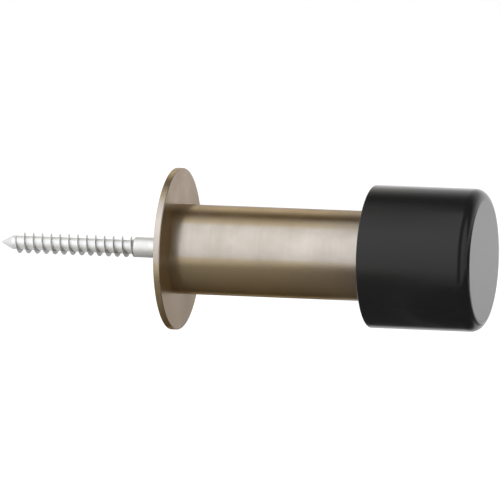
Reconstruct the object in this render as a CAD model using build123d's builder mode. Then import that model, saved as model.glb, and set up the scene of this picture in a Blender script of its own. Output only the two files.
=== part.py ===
from build123d import *
from math import ceil, radians, tan
import os

# A wall door stop: a turned post on a thin rose, a rubber buffer cap pushed over the post's front end,
# and a hanger bolt that holds the post and goes into the wall. All sizes are in millimetres.
# Every piece is round about X. The rose's rear face lies on the wall at X = 0, the stop reaches out
# along +X, and the bolt's wood thread goes into the wall along -X.

# Rose, a stamped plate
rose_diameter = 36.0
rose_thickness = 1.5
rose_hole_gap = 0.1

# Post, a turned bar with a tapped hole in its rear end
post_diameter = 20.0
post_length = 62.2
post_front_chamfer = 0.7
tapped_mouth_chamfer = 0.4
tapped_bottom_room = 3.0
drill_point_angle = 118.0
machine_thread_gap = 0.05

# Rubber cap, a moulded buffer with a blind socket for the post
cap_diameter = 31.7
cap_length = 25.3
cap_front_radius = 2.5
socket_depth = 18.0
socket_gap = 0.05

# Hanger bolt, its plain shank and its machine end
machine_diameter = 5.0
machine_reach = 18.0
machine_end_chamfer = 0.6
shank_diameter = 4.5
shank_length = 8.9

# Hanger bolt, its rolled wood thread and cone point
wood_thread_length = 31.1
wood_thread_diameter = 4.7
wood_root_diameter = 3.1
wood_thread_pitch = 2.06
wood_thread_base = 0.55
wood_thread_lead = 1.5
wood_thread_run_in = 1.0
wood_thread_overlap = 0.2
shoulder_length = 0.7
point_length = 2.7
point_tip_diameter = 0.3

# Places along the axis, and radii that several pieces share
post_rear = rose_thickness
post_front = post_rear + post_length
cap_rear = post_front - socket_depth
machine_front = post_rear + machine_reach
point_base = point_length - shank_length - wood_thread_length
point_tip = point_base - point_length
machine_radius = machine_diameter / 2
shank_radius = shank_diameter / 2
root_radius = wood_root_diameter / 2
crest_radius = wood_thread_diameter / 2

os.makedirs("parts", exist_ok=True)

# The rose: a flat disc with a hole that the bolt's machine end passes through
with BuildPart() as rose:
    with BuildSketch(Plane.YZ):
        Circle(rose_diameter / 2)
        Circle(machine_radius + rose_hole_gap, mode=Mode.SUBTRACT)
    extrude(amount=rose_thickness)

# The post: a plain bar, chamfered where the cap is pushed on, drilled and tapped from the rear
tapped_radius = machine_radius + machine_thread_gap
tapped_bottom = machine_front + tapped_bottom_room
drill_point_length = tapped_radius / tan(radians(drill_point_angle / 2))
with BuildPart() as post:
    with BuildSketch(Plane.YZ.offset(post_rear)):
        Circle(post_diameter / 2)
    extrude(amount=post_length)
    chamfer(post.edges().group_by(Axis.X)[-1], post_front_chamfer)
    with BuildSketch(Plane.XY):
        with BuildLine():
            Polyline(
                (post_rear, 0),
                (post_rear, tapped_radius + tapped_mouth_chamfer),
                (post_rear + tapped_mouth_chamfer, tapped_radius),
                (tapped_bottom, tapped_radius),
                (tapped_bottom + drill_point_length, 0),
                close=True,
            )
        make_face()
    revolve(axis=Axis.X, mode=Mode.SUBTRACT)

# The rubber cap: a thick cup with a rounded striking edge, its socket bottomed on the post's front end
socket_radius = post_diameter / 2 + socket_gap
with BuildPart() as rubber_cap:
    with BuildSketch(Plane.YZ.offset(cap_rear)):
        Circle(cap_diameter / 2)
    extrude(amount=cap_length)
    fillet(rubber_cap.edges().group_by(Axis.X)[-1], cap_front_radius)
    with BuildSketch(Plane.YZ.offset(cap_rear)):
        Circle(socket_radius)
    extrude(amount=socket_depth, mode=Mode.SUBTRACT)

# The wood thread: one turn of a ridge swept along a right-hand helix and repeated along the bar, then cut
# back to the outline that the crests follow: it rises beside the cone point and sinks into the shank
ridge_height = crest_radius - root_radius
ridge_inner_radius = root_radius - wood_thread_overlap
ridge_half_width = wood_thread_base / 2 * (1 + wood_thread_overlap / ridge_height)
helix_start = point_base - wood_thread_lead
helix_end = wood_thread_base / 2 - shank_length
turn_count = ceil((helix_end - helix_start) / wood_thread_pitch)
crest_start = point_base + wood_thread_overlap
clear_radius = crest_radius + wood_thread_overlap
run_in_slope = wood_thread_run_in / ridge_height
with BuildPart() as thread_turn:
    with BuildLine() as turn_helix:
        Helix(
            pitch=wood_thread_pitch,
            height=wood_thread_pitch,
            radius=root_radius,
            center=(helix_start, 0, 0),
            direction=(1, 0, 0),
        )
    with BuildSketch(Plane.XZ):
        Polygon(
            (helix_start - ridge_half_width, ridge_inner_radius),
            (helix_start, crest_radius),
            (helix_start + ridge_half_width, ridge_inner_radius),
            align=None,
        )
    sweep(path=turn_helix.line, is_frenet=True)

with BuildPart() as wood_thread:
    with Locations(*[(turn * wood_thread_pitch, 0, 0) for turn in range(turn_count)]):
        add(thread_turn.part)
    with BuildSketch(Plane.XY):
        with BuildLine():
            Polyline(
                (crest_start - root_radius * run_in_slope, 0),
                (crest_start + (clear_radius - root_radius) * run_in_slope, clear_radius),
                (-shank_length - shoulder_length, clear_radius),
                (helix_end, shank_radius - wood_thread_overlap),
                (helix_end, 0),
                close=True,
            )
        make_face()
    revolve(axis=Axis.X, mode=Mode.INTERSECT)

# The hanger bolt: cone point, root, shoulder, plain shank and machine end turned as one bar, with the
# wood thread standing on its root
machine_start = machine_radius - shank_radius
with BuildPart() as hanger_bolt:
    with BuildSketch(Plane.XY):
        with BuildLine():
            Polyline(
                (point_tip, 0),
                (point_tip, point_tip_diameter / 2),
                (point_base, root_radius),
                (-shank_length - shoulder_length, root_radius),
                (-shank_length, shank_radius),
                (0, shank_radius),
                (machine_start, machine_radius),
                (machine_front - machine_end_chamfer, machine_radius),
                (machine_front, machine_radius - machine_end_chamfer),
                (machine_front, 0),
                close=True,
            )
        make_face()
    revolve(axis=Axis.X)
    add(wood_thread.part)

hanger_bolt.part.label = "hanger_bolt"
export_step(hanger_bolt.part, "parts/hanger_bolt.step")
rose.part.label = "rose"
export_step(rose.part, "parts/rose.step")
post.part.label = "post"
export_step(post.part, "parts/post.step")
rubber_cap.part.label = "rubber_cap"
export_step(rubber_cap.part, "parts/rubber_cap.step")
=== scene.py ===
from math import acos, cos, radians, sin, tan, tau

import bmesh
import bpy
from mathutils import Matrix, Vector


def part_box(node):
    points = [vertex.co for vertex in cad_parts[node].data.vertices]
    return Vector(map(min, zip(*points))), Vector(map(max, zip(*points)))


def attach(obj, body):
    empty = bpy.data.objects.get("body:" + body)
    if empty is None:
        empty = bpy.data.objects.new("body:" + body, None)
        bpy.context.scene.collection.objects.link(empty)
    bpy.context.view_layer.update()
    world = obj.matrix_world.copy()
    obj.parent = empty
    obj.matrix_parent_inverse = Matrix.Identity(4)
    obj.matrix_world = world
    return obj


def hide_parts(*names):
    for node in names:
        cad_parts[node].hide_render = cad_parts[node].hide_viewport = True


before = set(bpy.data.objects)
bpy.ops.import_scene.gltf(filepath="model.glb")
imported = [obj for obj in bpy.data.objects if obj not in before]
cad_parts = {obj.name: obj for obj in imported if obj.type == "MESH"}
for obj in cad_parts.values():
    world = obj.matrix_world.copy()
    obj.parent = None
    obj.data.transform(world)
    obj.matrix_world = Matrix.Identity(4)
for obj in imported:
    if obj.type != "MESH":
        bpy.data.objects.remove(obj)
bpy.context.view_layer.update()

# The hanger bolt: zinc-plated steel, rolled from one wire, with a coarse right-hand wood thread, a cone
# point and a plain shank that stay behind the rose, and a machine end that screws into the post. The
# thread follows a helix, so Geometry Nodes wind it; the plain length in front of it is turned.
mm = 0.001
bolt_low, bolt_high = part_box("hanger_bolt")
point_length = 2.7 * mm
point_tip = bolt_low.x
point_tip_radius = 0.15 * mm
point_base = point_tip + point_length
root_radius = 1.55 * mm
crest_radius = 2.35 * mm
crest_flat = 0.1 * mm
ridge_base = 0.28 * mm
thread_pitch = 2.06 * mm
run_in_start = point_base + 0.6 * mm
run_in_end = point_base + 1.4 * mm
shoulder_length = 0.7 * mm
shank_length = 8.9 * mm
shank_radius = 2.25 * mm
shank_rear = -shank_length
shoulder_rear = shank_rear - shoulder_length
machine_radius = bolt_high.z
machine_rear = machine_radius - shank_radius
machine_front = bolt_high.x
machine_end_chamfer = 0.6 * mm
zinc_colour = "#D9DADB"
zinc_cloud_colour = "#CFD0D1"
zinc_cloud_size = 1.5 * mm
zinc_bright, zinc_dull = 0.5, 0.58

# A noise pattern keeps mostly between these two values, and each finish spreads them over its own range
noise_low, noise_high = 0.3, 0.7


def linear(hex_colour):
    """Turns an sRGB hex colour into the linear RGBA that a shader takes."""
    channels = [int(hex_colour[i : i + 2], 16) / 255 for i in (1, 3, 5)]
    return [c / 12.92 if c <= 0.04045 else ((c + 0.055) / 1.055) ** 2.4 for c in channels] + [1.0]


def add_node(tree, kind, inputs=None, **settings):
    """Adds one node to a tree, sets its properties, and sets or links its inputs."""
    node = tree.nodes.new(kind)
    for name, value in settings.items():
        setattr(node, name, value)
    for key, value in (inputs or {}).items():
        if isinstance(value, bpy.types.NodeSocket):
            tree.links.new(value, node.inputs[key])
        else:
            node.inputs[key].default_value = value
    return node


# Bright zinc plate on rolled steel: a pale, slightly cold metal with a soft sheen and faint cloudy patches
zinc = bpy.data.materials.new("bright zinc plate on rolled steel")
zinc.use_nodes = True
zinc_tree = zinc.node_tree
zinc_shader = zinc_tree.nodes["Principled BSDF"]
zinc_shader.inputs["Metallic"].default_value = 1.0
place = add_node(zinc_tree, "ShaderNodeTexCoord").outputs["Object"]
clouds = add_node(
    zinc_tree, "ShaderNodeTexNoise", {"Vector": place, "Scale": 1 / zinc_cloud_size, "Detail": 3.0}
).outputs["Fac"]
cloud_colour = add_node(
    zinc_tree,
    "ShaderNodeMix",
    {"Factor": clouds, "A": linear(zinc_colour), "B": linear(zinc_cloud_colour)},
    data_type="RGBA",
)
zinc_tree.links.new(cloud_colour.outputs["Result"], zinc_shader.inputs["Base Color"])
cloud_roughness = add_node(
    zinc_tree,
    "ShaderNodeMapRange",
    {
        "Value": clouds,
        "From Min": noise_low,
        "From Max": noise_high,
        "To Min": zinc_bright,
        "To Max": zinc_dull,
    },
)
zinc_tree.links.new(cloud_roughness.outputs["Result"], zinc_shader.inputs["Roughness"])

# The thread's tree: a strip as wide as one pitch and as long as the turns is wound about X, and its radius
# is the ridge, cut back to the run-in and the run-out, or the bar below it where that is larger. The strip
# starts whole turns before the thread does, so that its first row lies in the tip and leaves no slit.
helix_lead = 1.5 * mm
turns_in_tip = 2
turn_count = 18
turn_steps = 80
ridge_columns = 56
weld_distance = 0.001 * mm
thread_sizes = {
    "Helix start": point_base - helix_lead - turns_in_tip * thread_pitch,
    "Pitch": thread_pitch,
    "Turns": turn_count,
    "Steps per turn": turn_steps,
    "Columns": ridge_columns,
    "Crest radius": crest_radius,
    "Root radius": root_radius,
    "Ridge half width": ridge_base / 2,
    "Crest half width": crest_flat / 2,
    "Point tip": point_tip,
    "Point tip radius": point_tip_radius,
    "Point base": point_base,
    "Run-in start": run_in_start,
    "Run-in end": run_in_end,
    "Shoulder rear": shoulder_rear,
    "Shank rear": shank_rear,
    "Shank radius": shank_radius,
}
thread_tree = bpy.data.node_groups.new("wound wood thread", "GeometryNodeTree")
thread_tree.interface.new_socket("Geometry", in_out="INPUT", socket_type="NodeSocketGeometry")
thread_tree.interface.new_socket("Geometry", in_out="OUTPUT", socket_type="NodeSocketGeometry")
thread_sockets = {}
for size_name, size in thread_sizes.items():
    socket_type = "NodeSocketInt" if isinstance(size, int) else "NodeSocketFloat"
    thread_sockets[size_name] = thread_tree.interface.new_socket(
        size_name, in_out="INPUT", socket_type=socket_type
    ).identifier
size_of = add_node(thread_tree, "NodeGroupInput").outputs
step_total = add_node(
    thread_tree,
    "ShaderNodeMath",
    {0: size_of["Turns"], 1: size_of["Steps per turn"]},
    operation="MULTIPLY",
)
row_total = add_node(thread_tree, "ShaderNodeMath", {0: step_total.outputs[0], 1: 1.0}, operation="ADD")
column_total = add_node(thread_tree, "ShaderNodeMath", {0: size_of["Columns"], 1: 1.0}, operation="ADD")
strip = add_node(
    thread_tree,
    "GeometryNodeMeshGrid",
    {
        "Size X": size_of["Pitch"],
        "Size Y": size_of["Turns"],
        "Vertices X": column_total.outputs[0],
        "Vertices Y": row_total.outputs[0],
    },
)
strip_place = add_node(
    thread_tree,
    "ShaderNodeSeparateXYZ",
    {"Vector": add_node(thread_tree, "GeometryNodeInputPosition").outputs["Position"]},
)
turn = add_node(
    thread_tree,
    "ShaderNodeMath",
    {0: size_of["Turns"], 1: 0.5, 2: strip_place.outputs["Y"]},
    operation="MULTIPLY_ADD",
)
crest_place = add_node(
    thread_tree,
    "ShaderNodeMath",
    {0: turn.outputs[0], 1: size_of["Pitch"], 2: size_of["Helix start"]},
    operation="MULTIPLY_ADD",
)
free_place = add_node(
    thread_tree,
    "ShaderNodeMath",
    {0: crest_place.outputs[0], 1: strip_place.outputs["X"]},
    operation="ADD",
)
along = add_node(
    thread_tree,
    "ShaderNodeClamp",
    {"Value": free_place.outputs[0], "Min": size_of["Point tip"], "Max": size_of["Shank rear"]},
)
from_crest = add_node(thread_tree, "ShaderNodeMath", {0: strip_place.outputs["X"]}, operation="ABSOLUTE")

# The slopes from one radius to another; all but the run-in keep their radius past their ends
slopes = {}
for slope_name, place_on, start, end, first_radius, last_radius, held in (
    ("ridge", from_crest, "Crest half width", "Ridge half width", "Crest radius", "Root radius", True),
    ("run-in", along, "Run-in start", "Run-in end", "Root radius", "Crest radius", False),
    ("run-out", along, "Shoulder rear", "Shank rear", "Crest radius", "Shank radius", True),
    ("cone point", along, "Point tip", "Point base", "Point tip radius", "Root radius", True),
    ("shoulder", along, "Shoulder rear", "Shank rear", "Root radius", "Shank radius", True),
):
    slope = add_node(
        thread_tree,
        "ShaderNodeMapRange",
        {
            "Value": place_on.outputs[0],
            "From Min": size_of[start],
            "From Max": size_of[end],
            "To Min": size_of[first_radius],
            "To Max": size_of[last_radius],
        },
        clamp=held,
    )
    slopes[slope_name] = slope.outputs["Result"]
risen = add_node(
    thread_tree, "ShaderNodeMath", {0: slopes["ridge"], 1: slopes["run-in"]}, operation="MINIMUM"
)
sunk = add_node(
    thread_tree, "ShaderNodeMath", {0: risen.outputs[0], 1: slopes["run-out"]}, operation="MINIMUM"
)
on_shoulder = add_node(
    thread_tree,
    "ShaderNodeMath",
    {0: along.outputs[0], 1: size_of["Shoulder rear"]},
    operation="GREATER_THAN",
)
bar = add_node(
    thread_tree,
    "ShaderNodeMix",
    {"Factor": on_shoulder.outputs[0], "A": slopes["cone point"], "B": slopes["shoulder"]},
    data_type="FLOAT",
)
outside = add_node(
    thread_tree, "ShaderNodeMath", {0: bar.outputs["Result"], 1: sunk.outputs[0]}, operation="MAXIMUM"
)
past_tip = add_node(
    thread_tree,
    "ShaderNodeMath",
    {0: free_place.outputs[0], 1: size_of["Point tip"]},
    operation="GREATER_THAN",
)
radius = add_node(
    thread_tree, "ShaderNodeMath", {0: outside.outputs[0], 1: past_tip.outputs[0]}, operation="MULTIPLY"
)

# A right-hand thread turns from +Z towards -Y as it goes along +X
angle = add_node(thread_tree, "ShaderNodeMath", {0: turn.outputs[0], 1: -tau}, operation="MULTIPLY")
sine = add_node(thread_tree, "ShaderNodeMath", {0: angle.outputs[0]}, operation="SINE")
cosine = add_node(thread_tree, "ShaderNodeMath", {0: angle.outputs[0]}, operation="COSINE")
across = add_node(
    thread_tree, "ShaderNodeMath", {0: radius.outputs[0], 1: sine.outputs[0]}, operation="MULTIPLY"
)
upward = add_node(
    thread_tree, "ShaderNodeMath", {0: radius.outputs[0], 1: cosine.outputs[0]}, operation="MULTIPLY"
)
wound_place = add_node(
    thread_tree,
    "ShaderNodeCombineXYZ",
    {"X": along.outputs[0], "Y": across.outputs[0], "Z": upward.outputs[0]},
)
wound = add_node(
    thread_tree,
    "GeometryNodeSetPosition",
    {"Geometry": strip.outputs["Mesh"], "Position": wound_place.outputs["Vector"]},
)
welded = add_node(
    thread_tree, "GeometryNodeMergeByDistance", {"Geometry": wound.outputs[0], "Distance": weld_distance}
)
realized = add_node(thread_tree, "GeometryNodeRealizeInstances", {"Geometry": welded.outputs[0]})
coated = add_node(
    thread_tree, "GeometryNodeSetMaterial", {"Geometry": realized.outputs[0], "Material": zinc}
)
add_node(thread_tree, "NodeGroupOutput", {"Geometry": coated.outputs[0]})

wood_thread = bpy.data.objects.new("wood thread", bpy.data.meshes.new("wood thread"))
bpy.context.scene.collection.objects.link(wood_thread)
winding = wood_thread.modifiers.new("winding", "NODES")
winding.node_group = thread_tree
for size_name, size in thread_sizes.items():
    winding[thread_sockets[size_name]] = size
wound_thread = wood_thread.evaluated_get(bpy.context.evaluated_depsgraph_get())
wound_mesh = bpy.data.meshes.new_from_object(wound_thread)
bpy.data.objects.remove(wood_thread)
crease_angle = radians(30)


def turn_outline(shape, outline, sides, closed=False):
    """Spins (x, radius) points about X into rings of faces, with a pole where a point is on the axis."""
    angles = [tau * k / sides for k in range(sides)]
    rings = []
    for x, r in outline:
        if r == 0:
            rings.append([shape.verts.new((x, 0, 0))])
        else:
            rings.append([shape.verts.new((x, -r * sin(a), r * cos(a))) for a in angles])
    pairs = list(zip(rings, rings[1:]))
    if closed:
        pairs.append((rings[-1], rings[0]))
    for rear, front in pairs:
        for k in range(sides):
            near, far = k, (k + 1) % sides
            if len(rear) == 1:
                shape.faces.new((rear[0], front[far], front[near]))
            elif len(front) == 1:
                shape.faces.new((rear[near], rear[far], front[0]))
            else:
                shape.faces.new((rear[near], rear[far], front[far], front[near]))


def finish_piece(shape, node_name, material):
    """Closes a piece's mesh, points its faces outwards and puts it in place of its CAD node."""
    bmesh.ops.remove_doubles(shape, verts=shape.verts, dist=weld_distance)
    bmesh.ops.recalc_face_normals(shape, faces=shape.faces)
    mesh = bpy.data.meshes.new("finished_" + node_name)
    shape.to_mesh(mesh)
    shape.free()
    mesh.materials.append(material)
    mesh.shade_smooth()
    mesh.set_sharp_from_angle(angle=crease_angle)
    piece = bpy.data.objects.new("finished_" + node_name, mesh)
    bpy.context.scene.collection.objects.link(piece)
    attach(piece, "root")
    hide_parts(node_name)


bolt_shape = bmesh.new()
bolt_shape.from_mesh(wound_mesh)
turn_outline(
    bolt_shape,
    [
        (shank_rear, shank_radius),
        (0.0, shank_radius),
        (machine_rear, machine_radius),
        (machine_front - machine_end_chamfer, machine_radius),
        (machine_front, machine_radius - machine_end_chamfer),
        (machine_front, 0.0),
    ],
    turn_steps,
)
finish_piece(bolt_shape, "hanger_bolt", zinc)

# The rose: a thin round plate stamped from brass sheet and finished in bronze. It lies flat on the wall,
# clamped under the post by the bolt that passes through its hole.
rose_low, rose_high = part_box("rose")
rose_radius = rose_high.z
rose_hole_gap = 0.1 * mm
rose_hole_radius = machine_radius + rose_hole_gap
rose_front_rounding = 0.2 * mm
rose_rear_rounding = 0.1 * mm
rose_rounding_steps = 6
round_sides = 256
bronze_colour = "#C3BFBA"
bronze_edge_tint = "#EFE0D2"
bronze_bright, bronze_dull = 0.17, 0.27
patina_colour = "#654E2A"
patina_roughness = 0.5
patina_thin, patina_thick = 0.37, 0.53
patch_size = 9 * mm
ring_size = 0.6 * mm
ring_share = 0.1

# Satin bronze finish on turned brass: pale metal under a thin brown patina that stays brown where the metal
# has nothing bright to reflect. It was rubbed in slight patches, and the lathe left fine rings round it;
# real ones are about 0.1 mm apart, and they are drawn wider here so that they show.
bronze = bpy.data.materials.new("satin bronze patina on turned brass")
bronze.use_nodes = True
bronze_tree = bronze.node_tree
bronze_shader = bronze_tree.nodes["Principled BSDF"]
bronze_shader.inputs["Base Color"].default_value = linear(bronze_colour)
bronze_shader.inputs["Metallic"].default_value = 1.0
bronze_shader.inputs["Specular Tint"].default_value = linear(bronze_edge_tint)
place = add_node(bronze_tree, "ShaderNodeTexCoord").outputs["Object"]
patches = add_node(
    bronze_tree, "ShaderNodeTexNoise", {"Vector": place, "Scale": 1 / patch_size, "Detail": 4.0}
)
place_axes = add_node(bronze_tree, "ShaderNodeSeparateXYZ", {"Vector": place}).outputs
off_axis = add_node(bronze_tree, "ShaderNodeCombineXYZ", {"Y": place_axes["Y"], "Z": place_axes["Z"]})
from_axis = add_node(
    bronze_tree, "ShaderNodeVectorMath", {0: off_axis.outputs["Vector"]}, operation="LENGTH"
)
lathe_travel = add_node(
    bronze_tree, "ShaderNodeMath", {0: place_axes["X"], 1: from_axis.outputs["Value"]}, operation="ADD"
)
lathe_rings = add_node(
    bronze_tree,
    "ShaderNodeTexNoise",
    {"W": lathe_travel.outputs[0], "Scale": 1 / ring_size, "Detail": 2.0},
    noise_dimensions="1D",
)
rubbed_rings = add_node(
    bronze_tree,
    "ShaderNodeMix",
    {"Factor": ring_share, "A": patches.outputs["Fac"], "B": lathe_rings.outputs["Fac"]},
    data_type="FLOAT",
)
metal_roughness, patina_share = [
    add_node(
        bronze_tree,
        "ShaderNodeMapRange",
        {
            "Value": rubbed_rings.outputs["Result"],
            "From Min": noise_low,
            "From Max": noise_high,
            "To Min": least,
            "To Max": most,
        },
    ).outputs["Result"]
    for least, most in ((bronze_bright, bronze_dull), (patina_thin, patina_thick))
]
bronze_tree.links.new(metal_roughness, bronze_shader.inputs["Roughness"])
patina = add_node(
    bronze_tree,
    "ShaderNodeBsdfPrincipled",
    {"Base Color": linear(patina_colour), "Roughness": patina_roughness, "Specular IOR Level": 0.0},
)
finish = add_node(
    bronze_tree,
    "ShaderNodeMixShader",
    {0: patina_share, 1: bronze_shader.outputs["BSDF"], 2: patina.outputs["BSDF"]},
)
bronze_tree.links.new(finish.outputs[0], bronze_tree.nodes["Material Output"].inputs["Surface"])


def rounded(corners, steps):
    """Gives the (x, radius) points of an outline whose corners (x, radius, rounding) are rounded off.

    A short straight is kept beside each rounding, so that the flat faces next to it stay flat in the light.
    """
    straight_share = 0.05
    points = []
    for i, (x, r, rounding) in enumerate(corners):
        here = Vector((x, r))
        if not rounding:
            points.append((x, r))
            continue
        to_last = (Vector(corners[i - 1][:2]) - here).normalized()
        to_next = (Vector(corners[(i + 1) % len(corners)][:2]) - here).normalized()
        half_angle = acos(max(-1.0, min(1.0, to_last.dot(to_next)))) / 2
        reach = rounding / tan(half_angle)
        centre = here + (to_last + to_next).normalized() * (rounding / sin(half_angle))
        first = here + to_last * reach - centre
        swing = first.angle_signed(here + to_next * reach - centre)
        points.append(tuple(here + to_last * reach * (1 + straight_share)))
        for k in range(steps + 1):
            points.append(tuple(centre + Matrix.Rotation(-swing * k / steps, 2) @ first))
        points.append(tuple(here + to_next * reach * (1 + straight_share)))
    return points


rose_corners = [
    (rose_low.x, rose_hole_radius, 0),
    (rose_low.x, rose_radius, rose_rear_rounding),
    (rose_high.x, rose_radius, rose_front_rounding),
    (rose_high.x, rose_hole_radius, 0),
]
rose_shape = bmesh.new()
turn_outline(rose_shape, rounded(rose_corners, rose_rounding_steps), round_sides, closed=True)
finish_piece(rose_shape, "rose", bronze)

# The post: a plain bar turned from brass and finished like the rose. It is drilled and tapped from its
# rear end for the bolt, and its front end is chamfered for the rubber cap.
post_low, post_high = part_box("post")
post_radius = post_high.z
post_front_chamfer = 0.7 * mm
tapped_gap = 0.05 * mm
tapped_radius = machine_radius + tapped_gap
tapped_mouth_chamfer = 0.4 * mm
tapped_bottom_room = 3.0 * mm
tapped_bottom = machine_front + tapped_bottom_room
drill_point_angle = radians(118)
drill_point_length = tapped_radius / tan(drill_point_angle / 2)
post_shape = bmesh.new()
turn_outline(
    post_shape,
    [
        (tapped_bottom + drill_point_length, 0.0),
        (tapped_bottom, tapped_radius),
        (post_low.x + tapped_mouth_chamfer, tapped_radius),
        (post_low.x, tapped_radius + tapped_mouth_chamfer),
        (post_low.x, post_radius),
        (post_high.x - post_front_chamfer, post_radius),
        (post_high.x, post_radius - post_front_chamfer),
        (post_high.x, 0.0),
    ],
    round_sides,
)
finish_piece(post_shape, "post", bronze)

# The rubber cap: a thick buffer moulded in black rubber, pushed over the post's front end until the
# bottom of its socket meets it. Its front edge is rounded, and its flat face takes the door.
cap_low, cap_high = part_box("rubber_cap")
cap_radius = cap_high.z
cap_front_rounding = 2.5 * mm
cap_rear_rounding = 0.3 * mm
cap_rounding_steps = 16
socket_gap = 0.05 * mm
socket_radius = post_radius + socket_gap
socket_mouth_rounding = 0.3 * mm
rubber_colour = "#1A1A1A"
rubber_bright, rubber_dull = 0.17, 0.23
rubber_specular = 0.15
skin_roughness = 0.2
skin_ior = 1.17
grain_size = 0.35 * mm
grain_depth = 0.002 * mm

# Black moulded rubber: nearly black, with the dull sheen and fine grain that the mould leaves, and a weak
# second sheen from its smooth skin that shows most at a glancing angle. Real grain is about 0.05 mm; it is
# drawn coarser here so that it shows.
rubber = bpy.data.materials.new("moulded black rubber")
rubber.use_nodes = True
rubber_tree = rubber.node_tree
rubber_shader = rubber_tree.nodes["Principled BSDF"]
rubber_shader.inputs["Base Color"].default_value = linear(rubber_colour)
rubber_shader.inputs["Specular IOR Level"].default_value = rubber_specular
rubber_shader.inputs["Coat Weight"].default_value = 1.0
rubber_shader.inputs["Coat Roughness"].default_value = skin_roughness
rubber_shader.inputs["Coat IOR"].default_value = skin_ior
place = add_node(rubber_tree, "ShaderNodeTexCoord").outputs["Object"]
grain = add_node(
    rubber_tree, "ShaderNodeTexNoise", {"Vector": place, "Scale": 1 / grain_size, "Detail": 2.0}
).outputs["Fac"]
grain_roughness = add_node(
    rubber_tree,
    "ShaderNodeMapRange",
    {
        "Value": grain,
        "From Min": noise_low,
        "From Max": noise_high,
        "To Min": rubber_bright,
        "To Max": rubber_dull,
    },
)
rubber_tree.links.new(grain_roughness.outputs["Result"], rubber_shader.inputs["Roughness"])
grain_relief = add_node(
    rubber_tree, "ShaderNodeBump", {"Height": grain, "Strength": 1.0, "Distance": grain_depth}
)
rubber_tree.links.new(grain_relief.outputs["Normal"], rubber_shader.inputs["Normal"])
rubber_tree.links.new(grain_relief.outputs["Normal"], rubber_shader.inputs["Coat Normal"])

cap_corners = [
    (post_high.x, 0.0, 0),
    (post_high.x, socket_radius, 0),
    (cap_low.x, socket_radius, socket_mouth_rounding),
    (cap_low.x, cap_radius, cap_rear_rounding),
    (cap_high.x, cap_radius, cap_front_rounding),
    (cap_high.x, 0.0, 0),
]
cap_shape = bmesh.new()
turn_outline(cap_shape, rounded(cap_corners, cap_rounding_steps), round_sides)
finish_piece(cap_shape, "rubber_cap", rubber)

# The studio: a pale floor in white surroundings. Softboxes curve over the stop from the camera's side and
# fade towards their upper and lower edges. Glowing sheets below, above and beside the stop show only in
# reflections: they are painted reflections, rows of bright and dark glow that draw bands on the metal.
# Places are in metres.
studio_white = "#FFFFFF"
warm_white = "#FFEEC8"
paper_colour = "#EEEEEE"
paper_roughness = 0.9
paper_lift = 0.31
room_glow, white_glow = 0.7, 1.0
floor_height = -0.07
half_floor = 3.0
softbox_distance = 0.8
softbox_middle = radians(40)
softbox_reach = radians(62)
softbox_fade = 0.91
softbox_rows = 24


def add_sheet(name, rows, material):
    """Adds a stage sheet of the given material, with faces between its rows of points."""
    shape = bmesh.new()
    corners = [[shape.verts.new(point) for point in row] for row in rows]
    for low, high in zip(corners, corners[1:]):
        for k in range(len(low) - 1):
            shape.faces.new((low[k], low[k + 1], high[k + 1], high[k]))
    mesh = bpy.data.meshes.new(name)
    shape.to_mesh(mesh)
    shape.free()
    mesh.materials.append(material)
    sheet = bpy.data.objects.new(name, mesh)
    bpy.context.scene.collection.objects.link(sheet)
    return sheet


def add_panel(name, colour, rows, strengths):
    """Adds a stage sheet that glows with a strength for each of its rows, unseen by the camera."""
    panel = add_sheet(name, rows, panel_cloth)
    glow = panel.data.color_attributes.new("glow", "FLOAT_COLOR", "POINT")
    point_strengths = [strength for row, strength in zip(rows, strengths) for point in row]
    for corner, strength in zip(glow.data, point_strengths):
        corner.color = [channel * strength for channel in linear(colour)]
    panel.visible_camera = False
    panel.visible_shadow = False
    return panel


# Glowing cloth: an even light that fades smoothly from one row of a panel to the next
panel_cloth = bpy.data.materials.new("glowing cloth")
panel_cloth.use_nodes = True
panel_tree = panel_cloth.node_tree
panel_tree.nodes.remove(panel_tree.nodes["Principled BSDF"])
row_glow = add_node(panel_tree, "ShaderNodeAttribute", attribute_name="glow").outputs["Color"]
cloth_light = add_node(panel_tree, "ShaderNodeEmission", {"Color": row_glow, "Strength": 1.0})
panel_tree.links.new(cloth_light.outputs[0], panel_tree.nodes["Material Output"].inputs["Surface"])

# The softboxes, with their strength and their left and right edges along X
gap_left, gap_right = 0.06, 0.55
swings = [softbox_reach * (2 * k / softbox_rows - 1) for k in range(softbox_rows + 1)]
rises = [softbox_middle + swing for swing in swings]
curve = [(-softbox_distance * cos(rise), softbox_distance * sin(rise)) for rise in rises]
for name, strength, left, right in (
    ("softbox", 2.4, -0.9, -0.2),
    ("softbox end", 1.88, -0.2, gap_left),
    ("side softbox", 1.6, gap_right, 1.8),
):
    fades = [strength * cos(softbox_fade * swing) for swing in swings]
    add_panel(name, studio_white, [[(left, y, z), (right, y, z)] for y, z in curve], fades)

# The level sheets of painted reflection: each has rows of (place along Y, glow), from the camera's side to
# the far side
lower_glow_height = -0.06
lower_glow_fan = 0.22
lower_glow_draw_in = 0.3
strip_height = 0.16
strip_fan = 0.15
below_bolt_glows = ((-0.19, 1.1), (-0.11, 1.1), (-0.03, 1.05), (0.03, 0.95), (0.1, 0.9))
below_post_glows = (
    (-0.35, 1.35),
    (-0.19, 1.05),
    (-0.11, 0.4),
    (-0.03, 0.19),
    (0.0, 0.09),
    (0.03, 0.02),
    (0.045, 0.02),
    (0.06, 0.5),
    (0.09, 0.5),
    (0.105, 0.05),
    (0.25, 0.05),
)
below_cap_glows = (
    (-0.35, 1.35),
    (-0.24, 1.05),
    (-0.15, 0.3),
    (-0.11, 0.15),
    (0.045, 0.05),
    (0.06, 0.7),
    (0.25, 0.75),
)
below_edge_glows = ((-0.1, 0.05), (0.045, 0.05), (0.06, 0.7), (0.2, 0.9))
below_end_glows = ((-0.1, 0.05), (0.1, 0.05), (0.17, 0.9))
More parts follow.
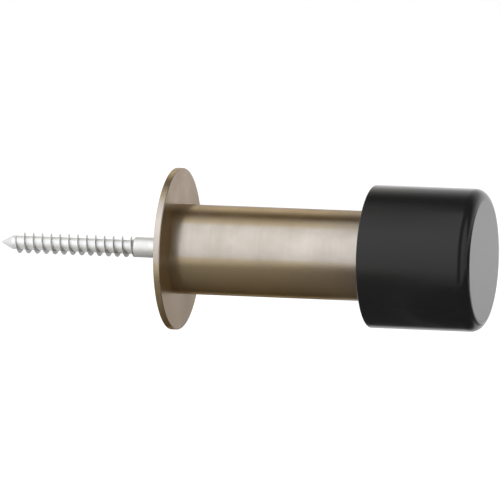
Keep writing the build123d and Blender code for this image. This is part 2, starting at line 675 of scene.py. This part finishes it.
behind_rose_glows = ((0.2, 0.8), (0.36, 0.78), (0.43, 1.1))
post_strip = ((-0.038, 1.5), (0.043, 0.05), (0.076, 0.05), (0.178, 1.15), (0.319, 1.15))
cap_strip = (
    (-0.146, 1.9),
    (-0.041, 1.05),
    (0.006, 0.48),
    (0.047, 0.04),
    (0.081, 0.04),
    (0.184, 0.62),
    (0.26, 0.72),
    (0.446, 0.85),
)
end_strip = ((-0.01, 0.04), (0.081, 0.04), (0.184, 0.62), (0.26, 0.72), (0.446, 0.85))

# A sheet's left and right edges along X are those on the axis. Its fan moves them to the left away from the
# axis, as reflections in a round bar run, and its draw-in pulls the near left corners towards the axis.
# The sheets by the post glow warm white, and this paints a warm reflection on the bronze.
reflection_glows = []
for name, colour, height, left, right, fan, draw_in, fall in (
    ("reflection glow below the bolt", studio_white, lower_glow_height, -0.4, -0.025, lower_glow_fan, 0.0, below_bolt_glows),
    ("reflection glow below the post", warm_white, lower_glow_height, -0.024, 0.03, lower_glow_fan, lower_glow_draw_in, below_post_glows),
    ("reflection glow below the cap", studio_white, lower_glow_height, 0.03, 0.058, lower_glow_fan, 0.0, below_cap_glows),
    ("reflection glow below the edge", studio_white, lower_glow_height, 0.058, 0.125, lower_glow_fan, 0.0, below_edge_glows),
    ("reflection glow below the end", studio_white, lower_glow_height, 0.125, 0.5, lower_glow_fan, 0.0, below_end_glows),
    ("reflection glow behind the rose", studio_white, lower_glow_height, 0.03, 0.14, 0.0, 0.0, behind_rose_glows),
    ("reflection glow above the post", warm_white, strip_height, -0.045, 0.006, strip_fan, 0.0, post_strip),
    ("reflection glow above the cap", studio_white, strip_height, 0.006, 0.034, strip_fan, 0.0, cap_strip),
    ("reflection glow above the end", studio_white, strip_height, 0.034, 0.6, strip_fan, 0.0, end_strip),
):
    rows = [
        [(left - fan * abs(y), y - draw_in * min(y, 0), height), (right - fan * abs(y), y, height)]
        for y, strength in fall
    ]
    reflection_glows.append(add_panel(name, colour, rows, [strength for y, strength in fall]))

# One more sheet of painted reflection starts in front of the stop, in rows of (place along Y, left edge,
# right edge), and rises to fill the gap between the softboxes with a dim warm glow, and a last one stands
# past the cap
gap_glow = 0.15
gap_near_rows = ((-0.11, 0.034, 0.13), (-0.35, 0.07, 0.25))
gap_rows = [[(left, y, lower_glow_height), (right, y, lower_glow_height)] for y, left, right in gap_near_rows]
gap_rows += [[(gap_left, y, z), (gap_right, y, z)] for y, z in curve if z > lower_glow_height]
gap_glows = [gap_glow for row in gap_rows]
reflection_glows.append(add_panel("reflection glow between the softboxes", warm_white, gap_rows, gap_glows))
corner_glow = 0.04
corner_low, corner_high = -0.068, 0.02
corner_places = ((0.4, 0.05), (0.4, 0.12), (0.218, 0.317))
corner_rows = [[(x, y, z) for x, y in corner_places] for z in (corner_low, corner_high)]
corner_glows = [corner_glow for row in corner_rows]
reflection_glows.append(add_panel("reflection glow past the end", studio_white, corner_rows, corner_glows))
# The sheets of painted reflection light nothing and cast no shadow; only reflections show them
for card in reflection_glows:
    card.visible_diffuse = False
    card.visible_transmission = False

# Pale studio paper: matt and nearly white, so that it keeps the stop's shadow. It and the white room are
# lifted to white where the camera, a reflection or a clear piece shows them.
world = bpy.data.worlds.new("white studio")
bpy.context.scene.world = world
paper = bpy.data.materials.new("pale studio paper")
shown = []
for surroundings in (world, paper):
    surroundings.use_nodes = True
    ray = add_node(surroundings.node_tree, "ShaderNodeLightPath").outputs
    seen = add_node(
        surroundings.node_tree,
        "ShaderNodeMath",
        {0: ray["Is Camera Ray"], 1: ray["Is Glossy Ray"]},
        operation="MAXIMUM",
    )
    seen_or_through = add_node(
        surroundings.node_tree,
        "ShaderNodeMath",
        {0: seen.outputs[0], 1: ray["Is Transmission Ray"]},
        operation="MAXIMUM",
    )
    shown.append(seen_or_through.outputs[0])
world_shown, paper_shown = shown
room_light = add_node(
    world.node_tree,
    "ShaderNodeMapRange",
    {"Value": world_shown, "To Min": room_glow, "To Max": white_glow},
)
background = world.node_tree.nodes["Background"]
background.inputs["Color"].default_value = linear(studio_white)
world.node_tree.links.new(room_light.outputs["Result"], background.inputs["Strength"])
lift = add_node(paper.node_tree, "ShaderNodeMath", {0: paper_shown, 1: paper_lift}, operation="MULTIPLY")
paper_shader = paper.node_tree.nodes["Principled BSDF"]
paper_shader.inputs["Base Color"].default_value = linear(paper_colour)
paper_shader.inputs["Roughness"].default_value = paper_roughness
paper_shader.inputs["Emission Color"].default_value = linear(studio_white)
paper.node_tree.links.new(lift.outputs[0], paper_shader.inputs["Emission Strength"])
floor_edges = (-half_floor, half_floor)
add_sheet("floor", [[(x, y, floor_height) for x in floor_edges] for y in floor_edges], paper)

# The camera: a long lens far from the stop, turned a little towards its front end and raised a little, as
# in the photograph. The middle of its square picture lies to the right of the rose's front face.
camera_turn = radians(15.055)
camera_rise = radians(8.394)
camera_distance = 2.5335
camera_lens = 820
camera_sensor = 36
camera_sight = 20
middle_right = 15.367 * mm
middle_below = 0.262 * mm
toward_camera = Vector(
    (sin(camera_turn) * cos(camera_rise), -cos(camera_turn) * cos(camera_rise), sin(camera_rise))
)
camera_right = Vector((cos(camera_turn), sin(camera_turn), 0))
camera_up = toward_camera.cross(camera_right)
rose_front = Vector((rose_high.x, 0, 0))
target = rose_front + camera_right * middle_right - camera_up * middle_below
camera = bpy.data.objects.new("camera", bpy.data.cameras.new("camera"))
camera.data.sensor_width = camera_sensor
camera.data.lens = camera_lens
camera.data.clip_end = camera_sight
camera.location = target + toward_camera * camera_distance
camera.rotation_euler = toward_camera.to_track_quat("Z", "Y").to_euler()
bpy.context.scene.collection.objects.link(camera)
bpy.context.scene.camera = camera
bpy.context.scene.view_settings.view_transform = "Standard"
